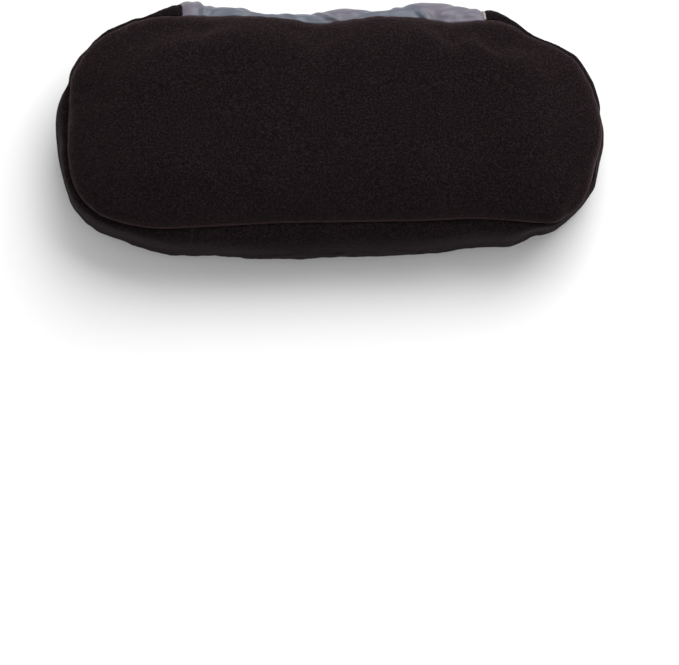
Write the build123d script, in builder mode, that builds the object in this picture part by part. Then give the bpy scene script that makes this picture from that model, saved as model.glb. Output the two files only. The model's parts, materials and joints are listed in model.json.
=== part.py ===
"""Camp pillow: a boxed fleece shell over a foam core, with a zipped nylon pocket along its rear.

Millimetres. +X runs along the pillow, +Y points to its rear, where the pocket is, and +Z is up.
The origin is the middle of the underside, on the surface that the pillow lies on.

Each fabric layer is a shell between two copies of one body shape, the inner copy set in further.
A layer's depth is counted inwards from the outside of the fleece.
"""

import os
from math import cos, pi, sin

from build123d import *

os.makedirs("parts", exist_ok=True)

# ---------------------------------------------------------------- driving dimensions
overall_width = 511.0  # along X, where the boxing band bulges most
overall_depth = 243.0  # along Y, likewise
overall_height = 112.0  # floor to the crown of the top panel
corner_radius = 105.0  # plan corners, at the bulge

top_seam_height = 84.0
base_seam_height = 6.0
wall_low, wall_high = 12.0, 62.0  # the band stands upright between these heights

base_inset = 16.0  # how far the flat underside is set in from the wall above it
rear_inset = 8.5  # how far the rear wall stands in, below the pocket's bulge
rear_wall_high = 42.0  # it is upright up to here, and then flares out to wall_high
top_seam_inset_x = 7.5  # how far the top seam is set in, at the ends
top_seam_inset_y = 22.0  # and along the front and rear
seam_rounding = 0.7  # share of inset_y by which the plan corners tighten up to the seam
crown_inset = 58.0  # further inset of the level middle of the top panel
shoulder_turn = 0.31 * pi  # how far the band has turned inwards where it meets the top seam
crown_turn = 0.47 * pi  # and the top panel, where its level middle starts

fleece_thickness = 2.0
nylon_thickness = 0.8
ticking_thickness = 0.6
layer_gap = 0.1  # between layers that lie on each other
seam_allowance = 3.0  # trimmings stop this far below the top seam

# rear pocket and its zip
pocket_half_width = 145.0
lining_depth = 3.4
lining_thickness = 0.5
binding_width = 5.0
zip_height = 28.0  # centre line of the chain above the floor
zip_slot = 10.0  # gap between the fabric edges, where the chain shows
tape_width = 28.0  # both tapes together
tape_thickness = 0.8
tape_end_gap = 0.5
chain_gap = 1.0  # between the two rows, where the slider's web runs
row_width = 2.2
row_thickness = 1.6
spine_width = 1.2  # of the part of a row that runs along its tape
tooth_pitch, tooth_width = 2.0, 1.2
chain_half_length = 132.0
stop_length, stop_radius = 2.5, 0.4

# care label, sewn under the left binding
label_length, label_height, label_thickness = 26.0, 18.0, 0.5
label_base = 21.0

# slider and pull
slider_rest_x = 125.0  # the slider stands here when the pocket is shut
slider_length = 11.0
slider_width = 8.4
plate_thickness, plate_radius = 1.2, 2.0
web_thickness, web_length = 0.7, 3.0
web_offset = 3.0  # from the slider's middle towards its nose
flange_thickness, flange_length = 1.0, 6.6
running_gap = 0.2
bridge_length = 5.6
bridge_width = 2.4
bridge_opening = 3.4
bridge_opening_height = 1.7
bridge_thickness, bridge_radius = 1.0, 0.8
pull_length = 24.0
pull_width = 7.0
pull_thickness = 1.2
pull_bar_radius = 0.7
pull_arm_width = 1.0
pull_hole_radius = 1.4

# insert
insert_depth = 2.4  # depth of the ticking under the fleece
rear_room = 1.9  # extra room at the rear, behind the zip and the pocket lining
insert_seam_height = 45.0
core_width, core_depth, core_height = 430.0, 160.0, 58.0
core_radius, core_edge_radius = 70.0, 6.0
core_base = 20.0

rear_wall = overall_depth / 2 - rear_inset  # Y of the outside of the upright rear wall


# ---------------------------------------------------------------- the body shape
def arc_steps(count, full_turn):
    """Evenly spaced angles from 0 to full_turn, for sections along an arc of an ellipse."""
    return [full_turn * step / (count - 1) for step in range(count)]


def body_shape(depth, rear_room=0.0):
    """The pillow's closed outer shape, set in by depth. Returns the band and the crown above it.

    Each is made of lofts through level sections. A section is
    (height, inset at the ends, inset at the front, inset at the rear, corner radius).
    """
    foot, flare, shoulder, crown = [], [], [], []
    for turn in arc_steps(4, pi / 2):
        inset = base_inset * (1 - sin(turn))
        height = depth + (wall_low - depth) * (1 - cos(turn))
        foot.append((height, inset, inset, inset + rear_inset, corner_radius - inset))
    for turn in arc_steps(5, pi):
        height = rear_wall_high + (wall_high - rear_wall_high) * turn / pi
        flare.append((height, 0.0, 0.0, rear_inset * (1 + cos(turn)) / 2, corner_radius))
    for turn in arc_steps(4, shoulder_turn):
        share = (1 - cos(turn)) / (1 - cos(shoulder_turn))
        inset = top_seam_inset_y * share
        height = wall_high + (top_seam_height - wall_high) * sin(turn) / sin(shoulder_turn)
        radius = corner_radius - seam_rounding * inset
        shoulder.append((height, top_seam_inset_x * share, inset, inset, radius))
    seam_radius = corner_radius - seam_rounding * top_seam_inset_y
    crown_rise = overall_height - depth - top_seam_height
    for turn in arc_steps(6, crown_turn):
        inset = crown_inset * (1 - cos(turn))
        height = top_seam_height + crown_rise * sin(turn) / sin(crown_turn)
        inset_y = top_seam_inset_y + inset
        crown.append((height, top_seam_inset_x + inset, inset_y, inset_y, seam_radius - inset))

    forms = []
    for stages in ((foot, [foot[-1], flare[0]], flare, shoulder), (crown,)):
        with BuildPart() as form:
            for sections in stages:
                for height, ends, front, rear, radius in sections:
                    with BuildSketch(Plane.XY.offset(height)):
                        with Locations((0, (front - rear - rear_room) / 2)):
                            RectangleRounded(
                                overall_width - 2 * (ends + depth),
                                overall_depth - front - rear - 2 * depth - rear_room,
                                radius - depth,
                            )
                loft()
        forms.append(form.part)
    return forms


def rear_block(centre_x, half_width, low, high):
    """A box over the rear of the pillow, which cuts a panel out of a shell."""
    with BuildPart(Plane.XY.offset(low)) as block:
        with Locations((centre_x, rear_wall)):
            Box(
                2 * half_width,
                overall_depth,
                high - low,
                align=(Align.CENTER, Align.CENTER, Align.MIN),
            )
    return block.part


outer_band, outer_crown = body_shape(0.0)
under_fleece_band, under_fleece_crown = body_shape(fleece_thickness)
under_nylon_band, _ = body_shape(nylon_thickness)


# ---------------------------------------------------------------- shell panels
with BuildPart() as top_panel:
    add(outer_crown)
    add(under_fleece_crown, mode=Mode.SUBTRACT)

# one strip of fleece goes round the front and both ends, and stops at the pocket
with BuildPart() as boxing_band:
    add(outer_band)
    add(under_fleece_band, mode=Mode.SUBTRACT)
    split(bisect_by=Plane.XY.offset(base_seam_height), keep=Keep.TOP)
    add(rear_block(0.0, pocket_half_width, 0.0, overall_height), mode=Mode.SUBTRACT)

with BuildPart() as base_panel:
    add(outer_band)
    add(under_nylon_band, mode=Mode.SUBTRACT)
    split(bisect_by=Plane.XY.offset(base_seam_height), keep=Keep.BOTTOM)


def rear_panel(outer, inner, block):
    """A panel of the pillow's rear: what block takes out of the shell between two body shapes."""
    with BuildPart() as panel:
        add(outer)
        add(inner, mode=Mode.SUBTRACT)
        add(block, mode=Mode.INTERSECT)
    return panel


slot_low = zip_height - zip_slot / 2
slot_high = zip_height + zip_slot / 2
panel_half_width = pocket_half_width - layer_gap

rear_pocket = rear_panel(
    outer_band,
    under_nylon_band,
    rear_block(0.0, panel_half_width, slot_high, top_seam_height),
)
rear_lower_strip = rear_panel(
    outer_band,
    under_nylon_band,
    rear_block(0.0, panel_half_width, base_seam_height, slot_low),
)

# the inner wall of the pocket, which keeps the insert away from the zip
lining_outer, _ = body_shape(lining_depth)
lining_inner, _ = body_shape(lining_depth + lining_thickness)
pocket_lining = rear_panel(
    lining_outer,
    lining_inner,
    rear_block(0.0, panel_half_width, wall_low + 1, top_seam_height - seam_allowance),
)

# bindings cover the upright seams where the pocket meets the fleece
binding_outer, _ = body_shape(-nylon_thickness - layer_gap)
binding_inner, _ = body_shape(-layer_gap)
bindings = {}
for side, direction in (("left", -1), ("right", 1)):
    bindings[side] = rear_panel(
        binding_outer,
        binding_inner,
        rear_block(
            direction * pocket_half_width,
            binding_width / 2,
            wall_low,
            top_seam_height - seam_allowance,
        ),
    )

# ---------------------------------------------------------------- care label
label_edge = -pocket_half_width - binding_width / 2 - layer_gap
with BuildPart() as care_label:
    with BuildSketch(Plane.XZ.offset(-rear_wall - layer_gap)):
        with Locations((label_edge, label_base)):
            Rectangle(label_length, label_height, align=(Align.MAX, Align.MIN))
    extrude(amount=-label_thickness)

# ---------------------------------------------------------------- zip tapes
tape_face = rear_wall - nylon_thickness - layer_gap  # outside of the tapes
tape_half_length = pocket_half_width - tape_end_gap
one_tape = (tape_width - chain_gap) / 2
tapes = {}
for side, direction in (("upper", 1), ("lower", -1)):
    with BuildPart() as tapes[side]:
        with BuildSketch(Plane.XZ.offset(-tape_face)):
            with Locations((0, zip_height + direction * (chain_gap + one_tape) / 2)):
                Rectangle(2 * tape_half_length, one_tape)
        extrude(amount=tape_thickness)

# ---------------------------------------------------------------- zip chain
# each row is a spine along its tape with teeth that face the other row
tooth_count = int(2 * chain_half_length / tooth_pitch)
row_offset = (chain_gap + row_width) / 2
spine_offset = chain_gap / 2 + row_width - spine_width / 2
rows = {}
for side, direction in (("upper", 1), ("lower", -1)):
    with BuildPart() as rows[side]:
        with BuildSketch(Plane.XZ.offset(-tape_face)):
            with Locations((0, zip_height + direction * spine_offset)):
                Rectangle(2 * chain_half_length, spine_width)
            with Locations((0, zip_height + direction * row_offset)):
                with GridLocations(tooth_pitch, 0, tooth_count, 1):
                    Rectangle(tooth_width, row_width)
        extrude(amount=-row_thickness)

stop_offset = chain_half_length + layer_gap + stop_length / 2
with BuildPart() as closed_end_stops:
    with BuildSketch(Plane.XZ.offset(-tape_face)):
        with Locations((stop_offset, zip_height)):
            with GridLocations(0, 2 * row_offset, 1, 2):
                RectangleRounded(stop_length, row_width, stop_radius)
    extrude(amount=-row_thickness)

with BuildPart() as open_end_stop:
    with BuildSketch(Plane.XZ.offset(-tape_face)):
        with Locations((-stop_offset, zip_height)):
            RectangleRounded(stop_length, chain_gap + 2 * row_width, stop_radius)
    extrude(amount=-row_thickness)

# ---------------------------------------------------------------- slider
outer_plate_y = tape_face + row_thickness + running_gap  # underside of the outer plate
inner_plate_y = tape_face - tape_thickness - running_gap  # top of the inner plate
plate_top_y = outer_plate_y + plate_thickness

with BuildPart() as zip_slider:
    for plane in (Plane.XZ.offset(-plate_top_y), Plane.XZ.offset(-inner_plate_y)):
        with BuildSketch(plane):
            with Locations((slider_rest_x, zip_height)):
                RectangleRounded(slider_length, slider_width, plate_radius)
        extrude(amount=plate_thickness)
    # the web at the nose ties the plates together through the gap between the rows
    with BuildSketch(Plane.XZ.offset(-outer_plate_y)):
        with Locations((slider_rest_x + web_offset, zip_height)):
            Rectangle(web_length, web_thickness)
    extrude(amount=outer_plate_y - inner_plate_y)
    # flanges keep the rows under the outer plate
    with BuildSketch(Plane.XZ.offset(-outer_plate_y)):
        with Locations((slider_rest_x, zip_height)):
            with GridLocations(0, slider_width - flange_thickness, 1, 2):
                Rectangle(flange_length, flange_thickness)
    extrude(amount=row_thickness)
    # the bridge that holds the pull
    with BuildSketch(Plane.XY.offset(zip_height)):
        with Locations((slider_rest_x, plate_top_y)):
            Rectangle(
                bridge_length,
                bridge_opening_height + bridge_thickness,
                align=(Align.CENTER, Align.MIN),
            )
            Rectangle(
                bridge_opening,
                bridge_opening_height,
                align=(Align.CENTER, Align.MIN),
                mode=Mode.SUBTRACT,
            )
    extrude(amount=bridge_width / 2, both=True)
    bridge_top = zip_slider.faces().filter_by(Axis.Y).sort_by(Axis.Y)[-1]
    fillet(bridge_top.edges().filter_by(Axis.Z), bridge_radius)

# ---------------------------------------------------------------- pull
pull_axis_y = plate_top_y + bridge_opening_height / 2
arm_offset = bridge_width / 2 + running_gap + pull_arm_width / 2
tab_start = bridge_length / 2 + 1.2  # the tab clears the end of the bridge as it turns

with BuildPart() as zip_pull:
    # the bar that turns under the bridge
    with BuildSketch(Plane.XY.offset(zip_height)):
        with Locations((slider_rest_x, pull_axis_y)):
            Circle(pull_bar_radius)
    extrude(amount=arm_offset + pull_arm_width / 2, both=True)
    # two arms and the tab, flat over the chain
    with BuildSketch(Plane.XZ.offset(-pull_axis_y)):
        with Locations((slider_rest_x, zip_height)):
            with GridLocations(0, 2 * arm_offset, 1, 2):
                Rectangle(
                    tab_start + layer_gap, pull_arm_width, align=(Align.MAX, Align.CENTER)
                )
        with Locations((slider_rest_x - tab_start, zip_height)):
            Rectangle(
                pull_length - tab_start - pull_width / 2,
                pull_width,
                align=(Align.MAX, Align.CENTER),
            )
        with Locations((slider_rest_x - pull_length + pull_width / 2, zip_height)):
            Circle(pull_width / 2)
            Circle(pull_hole_radius, mode=Mode.SUBTRACT)
    extrude(amount=pull_thickness / 2, both=True)

# ---------------------------------------------------------------- insert
ticking_band, ticking_crown = body_shape(insert_depth, rear_room)
under_ticking_band, under_ticking_crown = body_shape(
    insert_depth + ticking_thickness, rear_room
)
filling_band, filling_crown = body_shape(
    insert_depth + ticking_thickness + layer_gap, rear_room
)

with BuildPart() as insert_case:
    add(ticking_band)
    add(ticking_crown)
    add(under_ticking_band, mode=Mode.SUBTRACT)
    add(under_ticking_crown, mode=Mode.SUBTRACT)

insert_seam = Plane.XY.offset(insert_seam_height)
with BuildPart() as insert_case_top:
    add(insert_case.part)
    split(bisect_by=insert_seam, keep=Keep.TOP)
with BuildPart() as insert_case_base:
    add(insert_case.part)
    split(bisect_by=insert_seam, keep=Keep.BOTTOM)

with BuildPart() as foam_core:
    with BuildSketch(Plane.XY.offset(core_base)):
        with Locations((0, -rear_inset / 2)):
            RectangleRounded(core_width, core_depth, core_radius)
    extrude(amount=core_height)
    fillet(foam_core.edges().group_by(Axis.Z)[-1], core_edge_radius)
    fillet(foam_core.edges().group_by(Axis.Z)[0], core_edge_radius)

with BuildPart() as filling:
    add(filling_band)
    add(filling_crown)
    add(foam_core.part, mode=Mode.SUBTRACT)
with BuildPart() as wadding_top:
    add(filling.part)
    split(bisect_by=insert_seam, keep=Keep.TOP)
with BuildPart() as wadding_base:
    add(filling.part)
    split(bisect_by=insert_seam, keep=Keep.BOTTOM)

# ---------------------------------------------------------------- export
sub_parts = {
    "top_panel": top_panel,
    "boxing_band": boxing_band,
    "base_panel": base_panel,
    "rear_pocket": rear_pocket,
    "rear_lower_strip": rear_lower_strip,
    "pocket_lining": pocket_lining,
    "pocket_binding_left": bindings["left"],
    "pocket_binding_right": bindings["right"],
    "care_label": care_label,
    "zip_tape_upper": tapes["upper"],
    "zip_tape_lower": tapes["lower"],
    "zip_row_upper": rows["upper"],
    "zip_row_lower": rows["lower"],
    "zip_closed_end_stops": closed_end_stops,
    "zip_open_end_stop": open_end_stop,
    "zip_slider": zip_slider,
    "zip_pull": zip_pull,
    "insert_case_top": insert_case_top,
    "insert_case_base": insert_case_base,
    "wadding_top": wadding_top,
    "wadding_base": wadding_base,
    "foam_core": foam_core,
}
for name, sub_part in sub_parts.items():
    sub_part.part.label = name
    export_step(sub_part.part, f"parts/{name}.step")
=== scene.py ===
import json
import math
import bpy
import numpy as np
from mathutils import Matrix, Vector, noise
from mathutils.bvhtree import BVHTree


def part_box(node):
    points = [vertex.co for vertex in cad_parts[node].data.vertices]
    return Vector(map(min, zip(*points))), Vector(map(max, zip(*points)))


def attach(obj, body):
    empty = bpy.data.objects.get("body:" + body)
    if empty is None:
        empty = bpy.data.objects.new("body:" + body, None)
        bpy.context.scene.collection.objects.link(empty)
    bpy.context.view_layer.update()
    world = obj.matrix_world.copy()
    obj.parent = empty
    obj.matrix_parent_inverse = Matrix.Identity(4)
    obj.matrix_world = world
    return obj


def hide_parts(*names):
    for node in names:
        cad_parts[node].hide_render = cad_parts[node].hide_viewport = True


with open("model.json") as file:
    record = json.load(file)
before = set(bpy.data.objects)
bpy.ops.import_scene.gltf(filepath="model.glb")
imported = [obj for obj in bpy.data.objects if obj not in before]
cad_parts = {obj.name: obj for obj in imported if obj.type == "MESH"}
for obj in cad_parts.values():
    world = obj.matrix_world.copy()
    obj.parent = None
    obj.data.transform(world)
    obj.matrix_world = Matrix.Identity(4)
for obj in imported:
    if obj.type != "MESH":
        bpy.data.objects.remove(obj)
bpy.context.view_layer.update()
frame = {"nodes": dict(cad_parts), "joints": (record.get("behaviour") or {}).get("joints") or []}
print("frame loaded:", len(frame["nodes"]), "nodes")

mm = 0.001


# Places that come from the frame

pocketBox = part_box("rear_pocket")
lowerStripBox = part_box("rear_lower_strip")
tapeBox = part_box("zip_tape_upper")
zipPlace = {
    "halfWidth": pocketBox[1].x,
    "wall": lowerStripBox[1].y,  # the rear wall's outside, beside the zip
    "slotHigh": pocketBox[0].z,
    "slotLow": lowerStripBox[1].z,
    "middle": (pocketBox[0].z + lowerStripBox[1].z) / 2,
    "tapeFace": tapeBox[1].y,
}
baseSeamHeight = lowerStripBox[0].z
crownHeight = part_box("top_panel")[1].z


# Small helpers

def smoothStep(low, high, value):
    share = np.clip((value - low) / (high - low), 0, 1)
    return share * share * (3 - 2 * share)


def closedCurve(stations, count):
    # a smooth closed curve through the stations, evenly spaced along X and Y; other columns ride along
    points = np.array(stations, float)
    steps = np.linspace(0, 1, 40, endpoint=False)[:, None]
    runs = []
    for index in range(len(points)):
        a, b, c, d = (points[(index + k - 1) % len(points)] for k in range(4))
        runs.append(0.5 * (2 * b + (c - a) * steps + (2 * a - 5 * b + 4 * c - d) * steps ** 2
                           + (3 * b - a - 3 * c + d) * steps ** 3))
    dense = np.vstack(runs)
    gaps = np.linalg.norm(np.roll(dense, -1, 0)[:, :2] - dense[:, :2], axis=1)
    along = np.concatenate(([0], np.cumsum(gaps)))
    dense = np.vstack((dense, dense[:1]))
    wanted = np.linspace(0, along[-1], count, endpoint=False)
    return np.column_stack([np.interp(wanted, along, column) for column in dense.T])


def outwardNormals(ring):
    # for a ring that runs anticlockwise seen from above
    ahead = np.roll(ring[:, :2], -1, 0) - np.roll(ring[:, :2], 1, 0)
    normals = np.column_stack((ahead[:, 1], -ahead[:, 0]))
    return normals / np.linalg.norm(normals, axis=1)[:, None]


def newObject(name, vertices, faces):
    mesh = bpy.data.meshes.new(name)
    mesh.from_pydata([tuple(v) for v in vertices], [], faces)
    mesh.update()
    made = bpy.data.objects.new(name, mesh)
    bpy.context.scene.collection.objects.link(made)
    return made


def activate(piece):
    bpy.ops.object.select_all(action="DESELECT")
    piece.select_set(True)
    bpy.context.view_layer.objects.active = piece


def applyModifier(piece, kind, **settings):
    activate(piece)
    modifier = piece.modifiers.new(kind.title(), kind)
    for key, value in settings.items():
        setattr(modifier, key, value)
    bpy.ops.object.modifier_apply(modifier=modifier.name)


def coordinates(piece):
    flat = np.empty(len(piece.data.vertices) * 3)
    piece.data.vertices.foreach_get("co", flat)
    return flat.reshape(-1, 3)


def setCoordinates(piece, points):
    piece.data.vertices.foreach_set("co", np.asarray(points, float).ravel())
    piece.data.update()


def vertexNormals(piece):
    flat = np.empty(len(piece.data.vertices) * 3)
    piece.data.vertex_normals.foreach_get("vector", flat)
    return flat.reshape(-1, 3)


def faceOutward(piece):
    activate(piece)
    bpy.ops.object.mode_set(mode="EDIT")
    bpy.ops.mesh.select_all(action="SELECT")
    bpy.ops.mesh.normals_make_consistent(inside=False)
    bpy.ops.object.mode_set(mode="OBJECT")


def nearestOn(points, targets):
    # for each point, the index of the nearest target and how far it is
    index = np.empty(len(points), int)
    gap = np.empty(len(points))
    for start in range(0, len(points), 2000):
        part = points[start:start + 2000]
        squared = ((part[:, None] - targets[None]) ** 2).sum(2)
        index[start:start + 2000] = squared.argmin(1)
        gap[start:start + 2000] = np.sqrt(squared.min(1))
    return index, gap


# Materials

def linear(hexColour):
    # sRGB hex to linear, with a full alpha
    values = [int(hexColour[k:k + 2], 16) / 255 for k in (1, 3, 5)]
    return [v / 12.92 if v <= 0.04045 else ((v + 0.055) / 1.055) ** 2.4 for v in values] + [1.0]


def addNode(tree, kind, settings=None, **links):
    # a socket is named by its label or number; settings hold plain values, links hold other nodes' outputs
    node = tree.nodes.new(kind)
    for key, value in (settings or {}).items():
        if isinstance(key, int) or key in node.inputs:
            node.inputs[key].default_value = value
        else:
            setattr(node, key, value)
    for key, output in links.items():
        socket = int(key[1:]) if key[0] == "i" and key[1:].isdigit() else key.replace("_", " ")
        tree.links.new(output, node.inputs[socket])
    return node


def startMaterial(name, settings):
    material = bpy.data.materials.new(name)
    material.use_nodes = True
    tree = material.node_tree
    tree.nodes.clear()
    shader = addNode(tree, "ShaderNodeBsdfPrincipled", settings)
    addNode(tree, "ShaderNodeOutputMaterial", None, Surface=shader.outputs[0])
    place = addNode(tree, "ShaderNodeTexCoord")
    return material, tree, shader, place.outputs["Object"]


def colourRamp(tree, factor, stops):
    ramp = addNode(tree, "ShaderNodeValToRGB", None, Fac=factor)
    while len(ramp.color_ramp.elements) < len(stops):
        ramp.color_ramp.elements.new(0.5)
    for element, (position, hexColour) in zip(ramp.color_ramp.elements, stops):
        element.position = position
        element.color = linear(hexColour)
    return ramp.outputs["Color"]


def finishMaterial(tree, shader, colour, height, bumpMm):
    tree.links.new(colour, shader.inputs["Base Color"])
    bump = addNode(tree, "ShaderNodeBump", {"Strength": 1.0, "Distance": bumpMm * mm}, Height=height)
    tree.links.new(bump.outputs[0], shader.inputs["Normal"])


fleeceLook = {
    "darkHex": "#060304", "midHex": "#0c0708", "paleHex": "#1d1517", "lintHex": "#8d8a86",
    "pileMm": 1.7, "clumpMm": 7.0, "broadMm": 60.0, "lintCellMm": 60.0, "lintRadiusMm": 0.6,
    "bumpMm": 0.9,
}


def makeFleece(name, look, sheen):
    # short-pile polyester fleece: matt, with a soft light rim where the pile is seen edge on
    material, tree, shader, place = startMaterial(name, {
        "Roughness": 0.95, "Specular IOR Level": 0.08, "Sheen Weight": sheen,
        "Sheen Roughness": 0.45, "Sheen Tint": linear("#c0989c")})
    pile = addNode(tree, "ShaderNodeTexNoise", {
        "Scale": 1 / (look["pileMm"] * mm), "Detail": 2.0, "Roughness": 0.7}, Vector=place)
    clump = addNode(tree, "ShaderNodeTexNoise", {
        "Scale": 1 / (look["clumpMm"] * mm), "Detail": 2.0, "Roughness": 0.5}, Vector=place)
    broad = addNode(tree, "ShaderNodeTexNoise", {
        "Scale": 1 / (look["broadMm"] * mm), "Detail": 2.0}, Vector=place)
    mottle = addNode(tree, "ShaderNodeMath", {"operation": "MULTIPLY_ADD", 1: 0.93},
                     i0=pile.outputs["Fac"], i2=addNode(
                         tree, "ShaderNodeMath", {"operation": "MULTIPLY", 1: 0.07},
                         i0=broad.outputs["Fac"]).outputs[0])
    colour = colourRamp(tree, mottle.outputs[0], [
        (0.38, look["darkHex"]), (0.5, look["midHex"]), (0.62, look["paleHex"])])
    # a little lint: a few pale specks in some of the cells
    cells = addNode(tree, "ShaderNodeTexVoronoi", {
        "Scale": 1 / (look["lintCellMm"] * mm), "Randomness": 1.0}, Vector=place)
    near = addNode(tree, "ShaderNodeMath", {
        "operation": "LESS_THAN", 1: look["lintRadiusMm"] / look["lintCellMm"]},
        i0=cells.outputs["Distance"])
    split = addNode(tree, "ShaderNodeSeparateColor", None, Color=cells.outputs["Color"])
    chosen = addNode(tree, "ShaderNodeMath", {"operation": "GREATER_THAN", 1: 0.55},
                     i0=split.outputs[0])
    lint = addNode(tree, "ShaderNodeMath", {"operation": "MULTIPLY"},
                   i0=near.outputs[0], i1=chosen.outputs[0])
    mixed = addNode(tree, "ShaderNodeMix", {"data_type": "RGBA", 7: linear(look["lintHex"])},
                    i6=colour, i0=lint.outputs[0])
    height = addNode(tree, "ShaderNodeMath", {"operation": "ADD"},
                     i0=pile.outputs["Fac"], i1=clump.outputs["Fac"])
    finishMaterial(tree, shader, mixed.outputs[2], height.outputs[0], look["bumpMm"])
    return material


pocketLook = {
    # the two tones are painted light: blue grey a painted reflection, mauve painted shade
    "coolHex": "#4b505b", "warmHex": "#57525e", "threadMm": 1.1, "bumpMm": 0.03,
    "turnMm": 9.0, "wanderMm": 30.0,
    # how high up the painted tone turns from mauve painted shade to blue grey painted reflection, along the
    # pocket: x and height, in mm
    "turns": [(-150, 84), (-122, 82), (-108, 62), (-24, 62), (-4, 79), (14, 80), (40, 71), (56, 64),
              (84, 74), (98, 84), (150, 84)],
}


def makeTaffeta(name, look):
    # light nylon taffeta: smooth filament yarns, so a soft broad sheen; its tone turns from mauve to blue
    # grey across the folds,
    # which is painted light: blue grey a painted reflection where the fabric faces up by the seam, mauve
    # painted shade beyond the crease
    material, tree, shader, place = startMaterial(name, {
        "Roughness": 0.46, "Specular IOR Level": 0.4, "Sheen Weight": 0.06,
        "Sheen Roughness": 0.4})
    wander = addNode(tree, "ShaderNodeTexNoise", {
        "Scale": 1 / (look["wanderMm"] * mm), "Detail": 2.0, "Roughness": 0.6}, Vector=place)
    split = addNode(tree, "ShaderNodeSeparateXYZ", None, Vector=place)
    along = addNode(tree, "ShaderNodeMapRange", {"From Min": -150 * mm, "From Max": 150 * mm},
                    Value=split.outputs["X"])
    curve = addNode(tree, "ShaderNodeFloatCurve", None, Value=along.outputs["Result"])
    points = curve.mapping.curves[0].points
    stops = [((x + 150) / 300, height / 100) for x, height in look["turns"]]
    points[0].location, points[-1].location = stops[0], stops[-1]
    for stop in stops[1:-1]:
        points.new(*stop)
    curve.mapping.update()
    rise = addNode(tree, "ShaderNodeMath", {"operation": "MULTIPLY_ADD", 1: -100 / look["turnMm"]},
                   i0=curve.outputs[0], i2=addNode(
                       tree, "ShaderNodeMath", {"operation": "MULTIPLY", 1: 1 / (look["turnMm"] * mm)},
                       i0=split.outputs["Z"]).outputs[0])
    share = addNode(tree, "ShaderNodeMath", {"operation": "MULTIPLY_ADD", 1: 1.6, "use_clamp": True},
                    i0=wander.outputs["Fac"], i2=addNode(
                        tree, "ShaderNodeMath", {"operation": "ADD", 1: -0.3},
                        i0=rise.outputs[0]).outputs[0])
    # painted light: the ramp runs from mauve painted shade to blue grey painted reflection
    colour = colourRamp(tree, share.outputs[0], [(0.1, look["warmHex"]), (0.9, look["coolHex"])])
    # threads run along X and Z, drawn at several times their real spacing so that they show
    scale = math.pi / (look["threadMm"] * mm) / 20
    warp = addNode(tree, "ShaderNodeTexWave", {
        "wave_type": "BANDS", "bands_direction": "X", "Scale": scale, "Distortion": 1.5}, Vector=place)
    weft = addNode(tree, "ShaderNodeTexWave", {
        "wave_type": "BANDS", "bands_direction": "Z", "Scale": scale, "Distortion": 1.5}, Vector=place)
    weave = addNode(tree, "ShaderNodeMath", {"operation": "MAXIMUM"},
                    i0=warp.outputs["Fac"], i1=weft.outputs["Fac"])
    finishMaterial(tree, shader, colour, weave.outputs[0], look["bumpMm"])
    return material


def makePlain(name, hexColour, roughness, grainMm=1.0, bumpMm=0.05, metallic=0.0, spread=0.12,
              specular=0.5):
    # one colour that wanders a little either way, over a grain of the given size
    material, tree, shader, place = startMaterial(name, {
        "Roughness": roughness, "Metallic": metallic, "Specular IOR Level": specular})
    grain = addNode(tree, "ShaderNodeTexNoise", {"Scale": 1 / (grainMm * mm), "Detail": 3.0}, Vector=place)
    base = linear(hexColour)
    ramp = addNode(tree, "ShaderNodeValToRGB", None, Fac=grain.outputs["Fac"])
    for element, position, share in zip(ramp.color_ramp.elements, (0.3, 0.7), (1 - spread, 1 + spread)):
        element.position = position
        element.color = [min(1, c * share) for c in base[:3]] + [1]
    finishMaterial(tree, shader, ramp.outputs["Color"], grain.outputs["Fac"], bumpMm)
    return material


fleece = makeFleece("shortPileFleece", fleeceLook, 0.145)
shadedBandFleece = makeFleece("flattenedPileFleece", fleeceLook, 0.04)  # less sheen, so the band along the sides renders darker: painted shade
pocketTaffeta = makeTaffeta("greyNylonTaffeta", pocketLook)
# polyurethane-coated nylon: the coating leaves it dull and nearly black
coatedNylon = makePlain("coatedNylonUnderside", "#0f0d0f", 0.75, grainMm=1.2, specular=0.2)
# woven polyester: flat and matt
zipTapeWeave = makePlain("wovenZipTape", "#100e11", 0.85, grainMm=0.8, specular=0.2)
# drawn monofilament: smooth, so each turn carries a thin glint
coilNylon = makePlain("nylonCoil", "#201f24", 0.38, grainMm=0.5, bumpMm=0.01)
# pressed aluminium: bare satin metal
stopMetal = makePlain("plainAluminiumStop", "#77777a", 0.35, grainMm=0.5, bumpMm=0.01, metallic=1.0)
# die-cast zinc, plated dark: smooth with soft highlights
gunmetalZinc = makePlain("gunmetalZinc", "#55555b", 0.32, grainMm=2.0, bumpMm=0.01, metallic=0.8)
# satin ribbon: off-white with some gloss
labelSatin = makePlain("satinLabelRibbon", "#a9a7a1", 0.45, grainMm=0.8)
# grosgrain tape, matt: the black one is painted shadow, the dark line where the pocket's edge lifts off the
# fleece; the pale one is a painted highlight along the pocket's other edge
bindingPaintedShadow = makePlain("grosgrainBinding", "#0b080a", 0.9, grainMm=0.9, specular=0.15)
bindingPaintedHighlight = makePlain("paleGrosgrainBinding", "#8a807e", 0.8, grainMm=0.9)
# spun polyester thread: paler than the taffeta round it
stitchThread = makePlain("polyesterThread", "#7f7d88", 0.6, grainMm=0.4, bumpMm=0.02)
# unbleached plain-woven cotton: warm white and matt
cottonTicking = makePlain("cottonTicking", "#d9d5ca", 0.9, grainMm=0.9)
# carded fibre: white, soft and uneven
loftedWadding = makePlain("loftedWadding", "#eceae6", 0.95, grainMm=3.0, bumpMm=0.8)
# cast polyurethane foam: pale yellow with fine pores
openCellFoam = makePlain("openCellFoam", "#e3d9b6", 0.9, grainMm=1.2, bumpMm=0.5)


# The shell's form

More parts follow.
